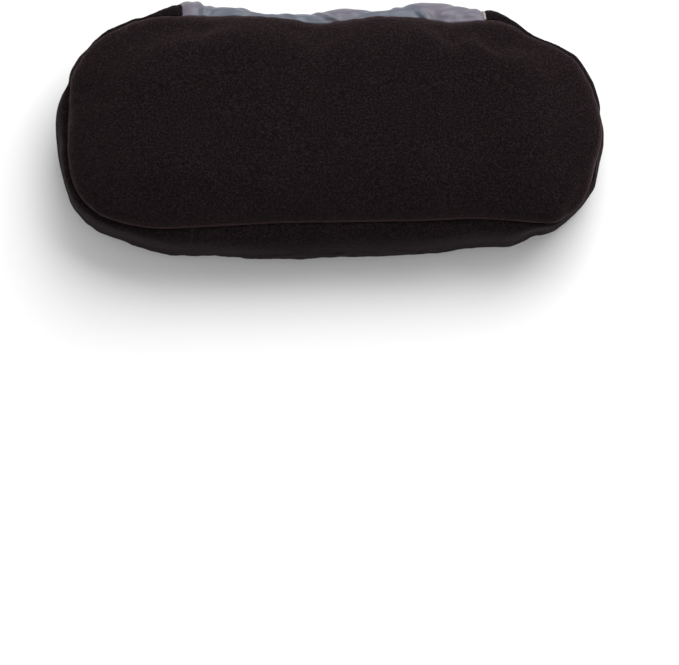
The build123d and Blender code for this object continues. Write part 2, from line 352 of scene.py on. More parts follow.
# Stations stand along the top seam, anticlockwise from the middle of the rear, in mm:
# x, y and how far the band bulges out beyond the seam
shellForm = {
    "cellsLong": 76, "cellsDeep": 30,
    "stations": [
        # rear, to the left: a dip, then the pocket's tall left end
        (-7, 96.5, 17), (-36, 102, 7.5), (-68, 105, 4.5), (-80, 105, 11.5), (-109, 105, 14),
        (-121, 105, 20), (-133, 105, 19), (-157, 104, 8.5), (-168, 102, 3.5),
        # left end, drawn in at its rear
        (-193, 93.5, 5.5), (-214.5, 80, 5.5), (-234, 55.5, 3), (-239.5, 43, 1), (-242, 16, 10),
        (-243, -17, 7.5), (-240, -48, 5), (-229.5, -70.5, 7.5), (-211, -86.5, 8), (-186, -96, 8),
        # front: the band swells out in the middle and is drawn in before the right end
        (-153, -100, 14), (-110, -98, 18.5), (-51, -95, 24), (11, -94, 22.5), (80, -93, 21.5),
        (130, -91, 17.5), (163, -92, 15), (174, -93, 13.5), (193, -94.5, 2),
        # right end, where the top rolls over the band
        (212, -92, 0), (237, -66, 1), (249.5, -28, 1), (253.5, -5, 1.5), (246, 31, 4), (234, 56, 5.5),
        (216.5, 71, 6), (190, 83, 6), (174, 94, 6.5),
        # rear, back to the middle: the pocket's broad right swell
        (156, 101, 12), (125, 99, 20.5), (111, 98, 24.5), (81, 103, 20), (49, 104, 9.5), (17, 101, 16),
    ],
    "seamHeight": 84.0, "rightDrop": 14.0,  # the seam sinks at the right end, where the top rolls over it
    "roll": 1.5, "rightRoll": 7.5,
    "bulgeHeight": 44.0, "rearBulgeRise": 16.0,
    "shoulderRows": 6, "wallRows": 4,
    "pocketEdges": (-136.5, 145.5),  # where the pocket's side edges reach the top seam
    "slideRise": 36.0,  # and over this height they slant out to the pocket's width
    "wallLow": 12.0, "baseInset": 16.0, "turnedUp": 2.2,
    "crownReach": 50.0, "crownShare": 0.82, "rollReach": 12.0,
    "settleSteps": 900,
}


def gridBoundary(long, deep):
    # the grid's edge vertices, anticlockwise from the middle of the rear edge
    rear = [(i, deep) for i in range(long // 2, 0, -1)]
    left = [(0, j) for j in range(deep, 0, -1)]
    front = [(i, 0) for i in range(0, long)]
    right = [(long, j) for j in range(0, deep)]
    return rear + left + front + right + [(i, deep) for i in range(long, long // 2, -1)]


def relaxedGrid(boundary, values, form):
    # fills a grid from its edge, each inner point being the mean of its neighbours
    long, deep = form["cellsLong"], form["cellsDeep"]
    grid = np.zeros((long + 1, deep + 1, 3))
    for (i, j), value in zip(boundary, values):
        grid[i, j] = value
    for i in range(1, long):
        share = np.linspace(0, 1, deep + 1)[1:-1, None]
        grid[i, 1:-1] = grid[i, 0] * (1 - share) + grid[i, deep] * share
    for _ in range(form["settleSteps"]):
        grid[1:-1, 1:-1] = (grid[2:, 1:-1] + grid[:-2, 1:-1] + grid[1:-1, 2:] + grid[1:-1, :-2]) / 4
    return grid.reshape(-1, 3)


def seamRing(form, count):
    ring = closedCurve(form["stations"], count)
    xy = ring[:, :2]
    rightEnd = smoothStep(178, 236, xy[:, 0]) * (1 - smoothStep(0, 52, xy[:, 1]))
    seam = {
        "xy": xy, "bulge": ring[:, 2], "normals": outwardNormals(ring),
        "z": form["seamHeight"] - form["rightDrop"] * rightEnd,
        "roll": form["roll"] + form["rightRoll"] * rightEnd,
        "bulgeZ": form["bulgeHeight"] + form["rearBulgeRise"] * smoothStep(25, 95, xy[:, 1]),
        "slide": np.zeros(count), "edgeColumns": [],
    }
    for side, target in zip((-1, 1), form["pocketEdges"]):
        # a column of points stands on each side edge of the pocket, and it slants near the seam
        away = np.where(xy[:, 1] > 50, np.abs(xy[:, 0] - target), 1e3)
        column = away.argmin()
        seam["edgeColumns"].append(column)
        xy[:, 0] += (target - xy[column, 0]) * np.exp(-(away / 14) ** 2)
        seam["slide"] += (side * zipPlace["halfWidth"] / mm - target) * np.exp(-(away / 24) ** 2)
    return seam


def crownedTop(form, boundary, seam):
    # a sheet over the seam, which rises to the crown and rolls out a little past the seam
    top = relaxedGrid(boundary, np.column_stack((seam["xy"], seam["z"])), form)
    gaps = np.linalg.norm(top[:, None, :2] - seam["xy"][None], axis=2)
    nearest, distance = gaps.argmin(1), gaps.min(1)
    reach = np.clip(distance / form["crownReach"], 0, 1)
    dome = smoothStep(0, 100, distance)
    share = form["crownShare"]
    profile = share * np.sqrt(1 - (1 - reach) ** 2) + (1 - share) * dome
    top[:, 2] += (crownHeight / mm - 0.5 - top[:, 2]) * profile
    rolled = distance / form["rollReach"]
    top[:, :2] += seam["normals"][nearest] * (seam["roll"][nearest] * rolled * np.exp(1 - rolled))[:, None]
    return top


def bandRows(form, seam):
    # rings of points from just below the seam down to the underside
    xy, normals, bulgeZ = seam["xy"], seam["normals"], seam["bulgeZ"]
    rearSide = smoothStep(-0.2, 0.6, normals[:, 1])
    flat = 1 - smoothStep(150, 190, np.abs(xy[:, 0]))
    flat = (flat * (normals[:, 1] > 0))[:, None]
    outer = xy + normals * seam["bulge"][:, None]
    low = xy + normals * (seam["bulge"] - 4 * rearSide)[:, None]
    low = low * (1 - flat) + np.column_stack((xy[:, 0], np.full(len(xy), zipPlace["wall"] / mm))) * flat
    rows = []
    for step in range(1, form["shoulderRows"] + 1):
        turn = step / form["shoulderRows"] * math.pi / 2
        rows.append(np.column_stack((xy + (outer - xy) * math.sin(turn),
                                     seam["z"] - (seam["z"] - bulgeZ) * (1 - math.cos(turn)))))
    slotHigh, slotLow = zipPlace["slotHigh"] / mm, zipPlace["slotLow"] / mm
    for step in range(1, form["wallRows"] + 1):
        share = step / form["wallRows"]
        sideShare = smoothStep(0, 0.7, share)
        rows.append(np.column_stack((outer * (1 - sideShare) + low * sideShare,
                                     bulgeZ + (slotHigh - bulgeZ) * share)))
    for height in (slotLow, form["wallLow"]):
        rows.append(np.column_stack((low, np.full(len(xy), height))))
    for row in rows:
        slant = smoothStep(form["seamHeight"] - form["slideRise"], form["seamHeight"], row[:, 2])
        row[:, 0] += seam["slide"] * (1 - slant)
    for height in (baseSeamHeight / mm, form["turnedUp"], 0.0):
        turn = math.acos(1 - height / form["wallLow"])
        inset = form["baseInset"] * (1 - math.sin(turn))
        below = low - normals * inset
        below[:, 0] += seam["slide"]
        rows.append(np.column_stack((below, np.full(len(xy), height))))
    return rows


def makeShellPoints(form):
    # returns vertices, faces, what each face belongs to, the rings of vertices and the pocket's edges
    long, deep = form["cellsLong"], form["cellsDeep"]
    boundary = gridBoundary(long, deep)
    count = len(boundary)
    seam = seamRing(form, count)
    top = crownedTop(form, boundary, seam)
    rows = bandRows(form, seam)
    base = relaxedGrid(boundary, rows.pop(), form)
    vertices = np.vstack([top] + rows + [base]) * mm
    index = {(i, j): i * (deep + 1) + j for i in range(long + 1) for j in range(deep + 1)}
    start = len(top)
    baseStart = start + count * len(rows)
    levels = [[index[p] for p in boundary]]
    levels += [[start + count * r + k for k in range(count)] for r in range(len(rows))]
    levels += [[baseStart + index[p] for p in boundary]]
    faces, kinds = [], []
    for i in range(long):
        for j in range(deep):
            quad = [index[i, j], index[i + 1, j], index[i + 1, j + 1], index[i, j + 1]]
            faces += [quad, [baseStart + v for v in reversed(quad)]]
            kinds += [("top", 0), ("base", 0)]
    for r in range(len(levels) - 1):
        for k in range(count):
            after = (k + 1) % count
            faces.append([levels[r][k], levels[r + 1][k], levels[r + 1][after], levels[r][after]])
            kinds.append(("band", (r, k)))
    return vertices, faces, kinds, levels, seam["edgeColumns"]


shellVertices, shellFaces, faceKinds, levels, edgeColumns = makeShellPoints(shellForm)
shell = newObject("shellForm", shellVertices, shellFaces)
print("shell form:", len(shellVertices), "points")
seamRow = 0
slotTopRow = shellForm["shoulderRows"] + shellForm["wallRows"]
baseSeamRow = slotTopRow + 3


# The shell is inflated, so that the fabric fills out between its seams

inflation = {
    "pressure": 4.0, "frames": 20, "capMm": 5.0, "seamShrink": 0.05, "slack": -0.02,
    "mass": 0.3, "stretch": 15, "shear": 5, "bending": 0.3, "quality": 6,
}


def inflate(piece, settings, held, seams):
    start = coordinates(piece)
    pin = piece.vertex_groups.new(name="pin")
    seam = piece.vertex_groups.new(name="seam")
    pin.add([int(v) for v in held], 1.0, "REPLACE")
    seam.add([int(v) for v in seams], 1.0, "REPLACE")
    cloth = piece.modifiers.new("Cloth", "CLOTH")
    cloth.settings.quality = settings["quality"]
    cloth.settings.mass = settings["mass"]
    cloth.settings.tension_stiffness = settings["stretch"]
    cloth.settings.compression_stiffness = settings["stretch"]
    cloth.settings.shear_stiffness = settings["shear"]
    cloth.settings.bending_stiffness = settings["bending"]
    cloth.settings.use_pressure = True
    cloth.settings.uniform_pressure_force = settings["pressure"]
    cloth.settings.vertex_group_mass = "pin"
    cloth.settings.vertex_group_shrink = "seam"
    cloth.settings.shrink_min = settings["slack"]
    cloth.settings.shrink_max = settings["seamShrink"]
    cloth.settings.effector_weights.gravity = 0
    cloth.point_cache.frame_start = 1
    cloth.point_cache.frame_end = settings["frames"]
    for number in range(1, settings["frames"] + 1):
        bpy.context.scene.frame_set(number)
    evaluated = piece.evaluated_get(bpy.context.evaluated_depsgraph_get())
    flat = np.empty(len(start) * 3)
    evaluated.data.vertices.foreach_get("co", flat)
    piece.modifiers.remove(cloth)
    bpy.context.scene.frame_set(1)
    moved = flat.reshape(-1, 3) - start
    length = np.linalg.norm(moved, axis=1)
    cap = settings["capMm"] * mm
    moved *= (cap * np.tanh(length / cap) / np.maximum(length, 1e-9))[:, None]
    setCoordinates(piece, start + moved)


rearPlane = zipPlace["wall"] - 0.5 * mm
heldTop = 44 * mm  # the rear wall stays flat up to here, round the zip
held = np.nonzero((shellVertices[:, 2] < 0.5 * mm)
                  | ((shellVertices[:, 1] > rearPlane) & (shellVertices[:, 2] < heldTop)
                     & (np.abs(shellVertices[:, 0]) < 152 * mm)))[0]
seamVertices = sorted(set(levels[seamRow]) | set(levels[baseSeamRow]))
inflate(shell, inflation, held, seamVertices)


def fitToFrame(piece, reachMm=26.0):
    # the sewn seam goes back to its pattern line, and the crown to the height of the frame
    points = coordinates(piece)
    ring = levels[seamRow]
    nearest, gap = nearestOn(points, points[ring])
    share = np.exp(-(gap / (reachMm * mm)) ** 2)[:, None]
    back = (shellVertices[ring] - points[ring])[nearest] * share
    points += back * (1, 1, 0.5)
    top = points[:, 2].max()
    lift = smoothStep(40 * mm, 110 * mm, points[:, 2])
    points[:, 2] += (crownHeight - 0.6 * mm - top) * lift
    points[:, 2] = np.maximum(points[:, 2], 0)
    setCoordinates(piece, points)


fitToFrame(shell)
print("inflated")


# Panels: each face of the shell is given to one, and then the seams are drawn in

panelNames = ["topPanel", "boxingBand", "basePanel", "rearPocket", "rearLowerStrip", "zipSlot"]


def panelOf(kind):
    if kind[0] != "band":
        return {"top": "topPanel", "base": "basePanel"}[kind[0]]
    row, column = kind[1]
    if row >= baseSeamRow:
        return "basePanel"
    if edgeColumns[0] <= column < edgeColumns[1]:
        return "boxingBand"
    if row < slotTopRow:
        return "rearPocket"
    return "zipSlot" if row == slotTopRow else "rearLowerStrip"


for name in panelNames:
    shell.data.materials.append(bpy.data.materials.new("panel." + name))
for polygon, kind in zip(shell.data.polygons, faceKinds):
    polygon.material_index = panelNames.index(panelOf(kind))
applyModifier(shell, "SUBSURF", levels=1, render_levels=1)


def bordersOf(piece, apart):
    # the vertices where two panels meet, apart from pairs in apart
    owners = {}
    for polygon in piece.data.polygons:
        for vertex in polygon.vertices:
            owners.setdefault(vertex, set()).add(panelNames[polygon.material_index])
    return [v for v, names in owners.items() if len(names) > 1 and names not in apart]


def noiseAt(points, sizeMm, shift=0.0):
    scale = 1 / (sizeMm * mm)
    return np.array([noise.noise(Vector(p) * scale + Vector((shift, shift, shift))) for p in points])


seamLook = {
    "depthMm": 2.4, "widthMm": 3.2,
    "puckerMm": 1.5, "puckerReachMm": 13.0, "puckerSizeMm": 11.0,
    "softMm": 1.2, "softSizeMm": 75.0,
    "hemMm": 0.5, "hemWidthMm": 6.0,
}

# folds in the fabric, each a ridge between two places: x, y, z, x, y, z, width, height, in mm
fleeceFolds = [(205, -88, 84, 226, -58, 96, 5.0, 1.8), (-236, 58, 74, -222, 72, 60, 5.0, 1.2)]
pocketFolds = [
    (-124, 122, 62, -116, 110, 78, 2.4, 1.3), (-108, 117, 62, -118, 104, 82, 2.6, 1.1),
    (-100, 104, 82, -70, 108, 76, 2.2, 1.0), (-86, 115, 64, -66, 107, 74, 3.0, 1.1),
    (-50, 110, 68, -26, 101, 81, 2.4, 1.0),
    (-16, 111, 66, -1, 103, 79, 2.0, 1.5), (-1, 103, 79, 14, 98.5, 83, 1.8, 1.3),
    (18, 106, 78, 40, 112, 66, 2.6, 1.0),
    (54, 114, 64, 80, 109, 75, 1.9, 1.7), (80, 109, 75, 93, 101, 82.5, 1.7, 1.7),
    (100, 103, 80, 128, 116, 68, 3.2, 1.2), (128, 104, 80, 140, 112, 64, 2.6, 0.9),
]


def foldsAt(points, rows):
    # each ridge has a shallow valley along both sides
    total = np.zeros(len(points))
    for row in rows:
        start, end = np.array(row[:3]), np.array(row[3:6])
        run = end - start
        share = np.clip((points - start) @ run / (run @ run), 0, 1)
        away = np.linalg.norm(points - start - share[:, None] * run, axis=1)
        fade = 0.35 + 0.65 * np.sin(np.pi * share)
        total += row[7] * fade * np.exp(-(away / row[6]) ** 2)
        total -= 0.6 * row[7] * fade * np.exp(-((away - 2.2 * row[6]) / row[6]) ** 2)
    return total


def drawSeams(piece, look):
    points, normals = coordinates(piece), vertexNormals(piece)
    slotPairs = [{"zipSlot", "rearPocket"}, {"zipSlot", "rearLowerStrip"}, {"zipSlot", "boxingBand"}]
    seams = np.array(bordersOf(piece, slotPairs))
    nearest, gap = nearestOn(points, points[seams])
    gap = gap / mm
    seamNoise = noiseAt(points[seams], look["puckerSizeMm"])
    seamNoise += 0.5 * noiseAt(points[seams], look["puckerSizeMm"] / 2.1, 7.0)
    pucker = seamNoise[nearest] * np.exp(-gap / look["puckerReachMm"]) * (1 - np.exp(-gap / 2.5))
    groove = np.exp(-(gap / look["widthMm"]) ** 2)
    soft = noiseAt(points, look["softSizeMm"], 3.0)
    height = points[:, 2] / mm
    free = smoothStep(0.5, 14, height)
    atZip = (points[:, 1] > rearPlane - 3 * mm) & (np.abs(points[:, 0]) < zipPlace["halfWidth"] + 6 * mm)
    free = free * np.where(atZip, smoothStep(heldTop / mm, heldTop / mm + 12, height), 1)
    push = look["puckerMm"] * pucker + look["softMm"] * soft + foldsAt(points / mm, fleeceFolds)
    push = push * free - look["depthMm"] * groove * np.where(atZip, 0.4 + 0.6 * free, free)
    # the fabric is double where it is hemmed beside the zip
    hem = np.minimum(np.abs(height - zipPlace["slotHigh"] / mm), np.abs(height - zipPlace["slotLow"] / mm))
    push += np.where(atZip, look["hemMm"] * (1 - smoothStep(0, 1.2, hem - look["hemWidthMm"])), 0)
    setCoordinates(piece, points + normals * (push * mm)[:, None])


drawSeams(shell, seamLook)
shellPoints, shellNormals = coordinates(shell), vertexNormals(shell)
shellQuads = [list(p.vertices) for p in shell.data.polygons]
shellOwners = [panelNames[p.material_index] for p in shell.data.polygons]
print("seams drawn in")


def layerOf(name, panels, depth, thickness, keep=None):
    # a layer of fabric under some panels' outside, depth below it
    faces = [q for q, owner in zip(shellQuads, shellOwners)
             if owner in panels and (keep is None or keep(shellPoints[q].mean(0)))]
    used = sorted({v for corners in faces for v in corners})
    renumber = {old: new for new, old in enumerate(used)}
    points = shellPoints[used] - shellNormals[used] * depth
    piece = newObject(name, points, [[renumber[v] for v in corners] for corners in faces])
    if thickness:
        applyModifier(piece, "SOLIDIFY", thickness=thickness, offset=-1.0)
    return piece


def finishPiece(piece, material, slot, body, *nodes):
    piece.data.materials.clear()
    piece.data.materials.append(material)
    for polygon in piece.data.polygons:
        polygon.use_smooth = True
    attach(piece, body)
    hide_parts(*nodes)
    return piece


panelLooks = {
    "topPanel": (fleece, "fleece", "top_panel", 2.0),
    # the band's fleece is a darker copy with less sheen: painted shade
    "boxingBand": (shadedBandFleece, "fleece", "boxing_band", 2.0),
    "basePanel": (coatedNylon, "base_nylon", "base_panel", 0.8),
    "rearPocket": (pocketTaffeta, "pocket_nylon", "rear_pocket", 0.8),
    "rearLowerStrip": (pocketTaffeta, "pocket_nylon", "rear_lower_strip", 0.8),
}
foldLook = {"puckerMm": 0.45, "puckerSizeMm": 11.0, "clearMm": 2.0, "rampMm": 14.0}


def foldPocket(piece, rows, look):
    # the light fabric creases more finely than the fleece, so its mesh is finer too
    applyModifier(piece, "SUBSURF", levels=1, render_levels=1, boundary_smooth="PRESERVE_CORNERS")
    points = coordinates(piece)
    height = points[:, 2] / mm
    flatTo = heldTop / mm + look["clearMm"]
    push = foldsAt(points / mm, rows) * smoothStep(flatTo, flatTo + look["rampMm"], height)
    puckers = noiseAt(points * (1, 1, 0.35), look["puckerSizeMm"], 5.0)
    puckers *= smoothStep(zipPlace["slotHigh"] / mm + 1.5, heldTop / mm + 4, height)
    push += look["puckerMm"] * puckers
    setCoordinates(piece, points + vertexNormals(piece) * (push * mm)[:, None])


for name, (material, slot, node, thickness) in panelLooks.items():
    panel = layerOf(name, [name], 0, 0)
    if name == "rearPocket":
        foldPocket(panel, pocketFolds, foldLook)
    applyModifier(panel, "SOLIDIFY", thickness=thickness * mm, offset=-1.0)
    finishPiece(panel, material, slot, "pillow", node)
bpy.data.objects.remove(shell)


# Inside: pocket lining, and an insert of ticking, wadding and foam

insertForm = {"liningDepth": 3.9, "caseDepth": 7.6, "fillDepth": 8.6, "coreGap": 0.4}
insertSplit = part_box("insert_case_base")[1].z

lining = layerOf("pocketLining", ["rearPocket", "rearLowerStrip", "zipSlot"], insertForm["liningDepth"] * mm,
                 0.5 * mm, keep=lambda centre: 12 * mm < centre[2] < 80 * mm)
finishPiece(lining, pocketTaffeta, "lining_mesh", "pillow", "pocket_lining")

shellTree = BVHTree.FromPolygons([tuple(p) for p in shellPoints], shellQuads)


def wholeLayer(name, depth, leastShare=0.7):
    # a closed layer, smoother than the shell and nowhere nearer to its outside than a share of the depth
    piece = layerOf(name, panelNames, 0, 0)
    applyModifier(piece, "SMOOTH", iterations=12, factor=0.5)
    points = coordinates(piece) - vertexNormals(piece) * depth
    for index, point in enumerate(points):
        place, facing, _, _ = shellTree.find_nearest(Vector(point))
        if (Vector(point) - place).dot(facing) > -leastShare * depth:
            points[index] = place - facing * (leastShare * depth)
    setCoordinates(piece, points)
    return piece


def cutLevel(piece, height, keepTop):
    activate(piece)
    bpy.ops.object.mode_set(mode="EDIT")
    bpy.ops.mesh.select_all(action="SELECT")
    bpy.ops.mesh.bisect(plane_co=(0, 0, height), plane_no=(0, 0, 1), clear_inner=keepTop,
                        clear_outer=not keepTop)
    bpy.ops.object.mode_set(mode="OBJECT")


def bevelWhere(piece, chosen, offset, segments):
    # rounds the edges that a test on their two ends picks out
    activate(piece)
    bpy.ops.object.mode_set(mode="EDIT")
    bpy.ops.mesh.select_mode(type="EDGE")
    bpy.ops.mesh.select_all(action="DESELECT")
    bpy.ops.object.mode_set(mode="OBJECT")
    for edge in piece.data.edges:
        edge.select = chosen(*(piece.data.vertices[v].co for v in edge.vertices))
    bpy.ops.object.mode_set(mode="EDIT")
    bpy.ops.mesh.bevel(offset=offset, segments=segments)
    bpy.ops.mesh.select_mode(type="VERT")
    bpy.ops.object.mode_set(mode="OBJECT")


def joinPieces(name, parts):
    activate(parts[0])
    for part in parts:
        part.select_set(True)
    bpy.ops.object.join()
    joined = bpy.context.object
    joined.name = name
    return joined


def hollowOut(piece, hollow):
    # the hollow's wall, turned to face into it, is joined to the piece along the rim of their common cut
    activate(hollow)
    bpy.ops.object.mode_set(mode="EDIT")
    bpy.ops.mesh.select_all(action="SELECT")
    bpy.ops.mesh.flip_normals()
    bpy.ops.object.mode_set(mode="OBJECT")
    joined = joinPieces(piece.name, [piece, hollow])
    bpy.ops.object.mode_set(mode="EDIT")
    bpy.ops.mesh.select_all(action="DESELECT")
    bpy.ops.mesh.select_non_manifold()
    bpy.ops.mesh.bridge_edge_loops()
    bpy.ops.object.mode_set(mode="OBJECT")
    return joined


def makeFoamCore(name, grow):
    low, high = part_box("foam_core")
    bpy.ops.object.select_all(action="DESELECT")
    bpy.ops.mesh.primitive_cube_add(size=1, location=(low + high) / 2, scale=[
        h - l + 2 * grow for l, h in zip(low, high)])
    core = bpy.context.object
    core.name = name
    bpy.ops.object.transform_apply(location=True, rotation=True, scale=True)
    bevelWhere(core, lambda a, b: abs(a.z - b.z) > 10 * mm, 70 * mm, 16)
    applyModifier(core, "BEVEL", width=6 * mm, segments=4, limit_method="ANGLE",
                  angle_limit=math.radians(50))
    return core


halves = {
    "Top": (True, "insert_case_top", "wadding_top"),
    "Base": (False, "insert_case_base", "wadding_base"),
}
for half, (keepTop, caseNode, fillNode) in halves.items():
    case = wholeLayer("insertCase" + half, insertForm["caseDepth"] * mm)
    cutLevel(case, insertSplit, keepTop)
    applyModifier(case, "SOLIDIFY", thickness=0.6 * mm, offset=-1.0)
    finishPiece(case, cottonTicking, "ticking", "pillow", caseNode)
    fill = wholeLayer("wadding" + half, insertForm["fillDepth"] * mm)
    hollow = makeFoamCore("coreHollow", insertForm["coreGap"] * mm)
    for part in (fill, hollow):
        cutLevel(part, insertSplit, keepTop)
    fill = hollowOut(fill, hollow)
    finishPiece(fill, loftedWadding, "wadding", "pillow", fillNode)
foamCore = makeFoamCore("foamCore", 0)
finishPiece(foamCore, openCellFoam, "foam", "pillow", "foam_core")
foamCore.data.shade_smooth()
print("insert made")


# Trimmings: side bindings, blank label and stitching

def sweepTube(name, path, normals, width, height, sides=8):
    # a flattened tube along a path that lies on the shell; its ends are closed
    ahead = np.gradient(path, axis=0)
    ahead /= np.linalg.norm(ahead, axis=1)[:, None]
    across = np.cross(ahead, normals)
    across /= np.linalg.norm(across, axis=1)[:, None]
    outward = np.cross(across, ahead)
    turns = np.arange(sides) * 2 * math.pi / sides
    vertices = np.vstack([
        p + np.outer(np.cos(turns), a) * width / 2 + np.outer(np.sin(turns), o) * height / 2
        for p, a, o in zip(path, across, outward)])
    faces = []
    for ring in range(len(path) - 1):
        for k in range(sides):
            after = (k + 1) % sides
            faces.append([ring * sides + k, ring * sides + after,
                          (ring + 1) * sides + after, (ring + 1) * sides + k])
    last = (len(path) - 1) * sides
    faces += [list(range(sides))[::-1], [last + k for k in range(sides)]]
    tube = newObject(name, vertices, faces)
    faceOutward(tube)
    return tube


bindingForm = {"widthMm": 2.4, "heightMm": 1.4, "liftMm": 0.3, "lowMm": 8.0, "reachMm": 16.0}


def makeBinding(name, side, form):
    edge = [v for v in range(len(shellPoints)) if shellPoints[v, 1] > 60 * mm
            and abs(shellPoints[v, 0] - side * zipPlace["halfWidth"]) < form["reachMm"] * mm]
    borders = sorted({v for q, owner in zip(shellQuads, shellOwners) if owner == "boxingBand" for v in q}
                     & {v for q, owner in zip(shellQuads, shellOwners)
                        if owner in ("rearPocket", "rearLowerStrip", "zipSlot") for v in q} & set(edge))
    column = shellPoints[borders]
    order = column[:, 2].argsort()
    column, facing = column[order], shellNormals[borders][order]
    heights = np.linspace(form["lowMm"] * mm, column[-1, 2] - 0.5 * mm, 44)
    path = np.column_stack([np.interp(heights, column[:, 2], column[:, k]) for k in range(2)] + [heights])
    normals = np.column_stack([np.interp(heights, column[:, 2], facing[:, k]) for k in range(3)])
    normals /= np.linalg.norm(normals, axis=1)[:, None]
    return sweepTube(name, path + normals * form["liftMm"] * mm, normals,
                     form["widthMm"] * mm, form["heightMm"] * mm)


for name, side in (("pocketBindingLeft", -1), ("pocketBindingRight", 1)):
    binding = makeBinding(name, side, bindingForm)
    node = "pocket_binding_" + name[len("pocketBinding"):].lower()
    # left binding black for painted shadow, right binding pale for a painted highlight
    finishPiece(binding, bindingPaintedShadow if side < 0 else bindingPaintedHighlight, "binding", "pillow", node)

labelForm = {"columns": 14, "rows": 8, "thickMm": 0.4, "liftMm": 0.6, "curlMm": 3.0, "waveMm": 0.3}


def makeLabel(form):
    low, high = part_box("care_label")
    xs = np.linspace(high.x, low.x, form["columns"])
    zs = np.linspace(low.z, high.z, form["rows"])
    places = np.array([(x, zipPlace["wall"], z) for x in xs for z in zs])
    wall = shellPoints[nearestOn(places, shellPoints)[0]]
    reach = (high.x - places[:, 0]) / (high.x - low.x)
    rise = form["liftMm"] + form["curlMm"] * reach ** 3
    rise += form["waveMm"] * np.sin(reach * 7 + places[:, 2] / mm * 0.15) * reach
    wallY = np.minimum.accumulate(wall[:, 1].reshape(len(xs), -1).max(1))
    places[:, 1] = np.repeat(wallY, len(zs)) + rise * mm
    faces = [[i * len(zs) + j, i * len(zs) + j + 1, (i + 1) * len(zs) + j + 1, (i + 1) * len(zs) + j]
             for i in range(len(xs) - 1) for j in range(len(zs) - 1)]
    label = newObject("careLabel", places, faces)
    applyModifier(label, "SOLIDIFY", thickness=form["thickMm"] * mm, offset=0)
    applyModifier(label, "BEVEL", width=0.1 * mm, segments=1)
    applyModifier(label, "SUBSURF", levels=1, render_levels=1)
    return label


finishPiece(makeLabel(labelForm), labelSatin, "label", "pillow", "care_label")

stitchForm = {"lengthMm": 2.4, "pitchMm": 3.2, "threadMm": 0.5, "sides": 6}


def stitchAlong(name, path, normals, form):
    # stitches of thread along a path, each a short rounded bar that dips at its ends
    gaps = np.linalg.norm(np.diff(path, axis=0), axis=1)
    along = np.concatenate(([0], np.cumsum(gaps)))
    count = int(along[-1] / (form["pitchMm"] * mm))
    sides = form["sides"]
    turns = np.arange(sides) * 2 * math.pi / sides
    # along the stitch: share of its length, girth and rise
    profile = ((0, 0.35, -0.25), (0.12, 0.9, 0.0), (0.5, 1.0, 0.12), (0.88, 0.9, 0.0), (1, 0.35, -0.25))
    vertices, faces = [], []
    for stitch in range(count):
        start = (stitch + 0.5) * form["pitchMm"] * mm - form["lengthMm"] * mm / 2
        spots = [start + share * form["lengthMm"] * mm for share, _, _ in profile]
        centre = np.column_stack([np.interp(spots, along, path[:, k]) for k in range(3)])
        facing = np.array([np.interp(spots[2], along, normals[:, k]) for k in range(3)])
        facing /= np.linalg.norm(facing)
        ahead = centre[-1] - centre[0]
        across = np.cross(ahead / np.linalg.norm(ahead), facing)
        first = len(vertices)
        for point, (_, girth, rise) in zip(centre, profile):
            radius = form["threadMm"] / 2 * mm * girth
            for turn in turns:
                vertices.append(point + facing * (rise * form["threadMm"] * mm)
                                + (across * math.cos(turn) + facing * math.sin(turn)) * radius)
        for ring in range(len(profile) - 1):
            for k in range(sides):
                after = (k + 1) % sides
                faces.append([first + ring * sides + k, first + (ring + 1) * sides + k,
                              first + (ring + 1) * sides + after, first + ring * sides + after])
        last = first + (len(profile) - 1) * sides
        faces += [[first + k for k in range(sides)], [last + k for k in range(sides)][::-1]]
    thread = newObject(name, vertices, faces)
    faceOutward(thread)
    return thread


def stitchLevel(name, height, offsetMm):
    xs = np.linspace(-1, 1, 90) * (zipPlace["halfWidth"] - 3 * mm)
    wall = zipPlace["wall"] + seamLook["hemMm"] * mm + 0.1 * mm
    path = np.column_stack((xs, np.full(len(xs), wall), np.full(len(xs), height + offsetMm * mm)))
    return stitchAlong(name, path, np.tile((0.0, 1.0, 0.0), (len(xs), 1)), stitchForm)


for name, height, offset in (("stitchAboveZip", zipPlace["slotHigh"], 2.4),
                             ("stitchBelowZip", zipPlace["slotLow"], -2.4)):
    row = stitchLevel(name, height, offset)
    finishPiece(row, stitchThread, "pocket_nylon", "pillow")


# Zip: two coils that mesh, a slider and its pull

coilForm = {"pitchMm": 2.0, "wireMm": 0.62, "pointsPerTurn": 12, "meshMm": 0.3}


def makeCoil(name, node, side, form):
    low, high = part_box(node)
    wire = form["wireMm"] * mm
    inner = zipPlace["middle"] - side * form["meshMm"] * mm
    outer = high.z if side > 0 else low.z
    midZ, halfZ = (inner + outer) / 2, abs(outer - inner) / 2 - wire / 2
    midY, halfY = (low.y + high.y) / 2, (high.y - low.y) / 2 - wire / 2
    turnCount = int((high.x - low.x) / (form["pitchMm"] * mm)) - 1
    steps = np.arange(turnCount * form["pointsPerTurn"] + 1) / form["pointsPerTurn"]
    angle = 2 * math.pi * steps + (math.pi if side > 0 else 0)
    curve = bpy.data.curves.new(name, "CURVE")
    curve.dimensions = "3D"
    spline = curve.splines.new("POLY")
    spline.points.add(len(steps) - 1)
    xs = low.x + (steps + 0.5 + 0.25 * side) * form["pitchMm"] * mm
    # the back of each turn leans over by half a pitch, so that the fronts stand square to the tape
    xs = xs - np.sin(angle * 2) * 0.1 * form["pitchMm"] * mm
    rows = np.column_stack((xs, midY + halfY * np.sin(angle), midZ + halfZ * np.cos(angle),
                            np.ones(len(steps))))
    spline.points.foreach_set("co", rows.ravel())
    curve.bevel_depth = wire / 2
    curve.bevel_resolution = 0
    curve.use_fill_caps = True
    coil = bpy.data.objects.new(name, curve)
    bpy.context.scene.collection.objects.link(coil)
    activate(coil)
    bpy.ops.object.convert(target="MESH")
    return bpy.context.object


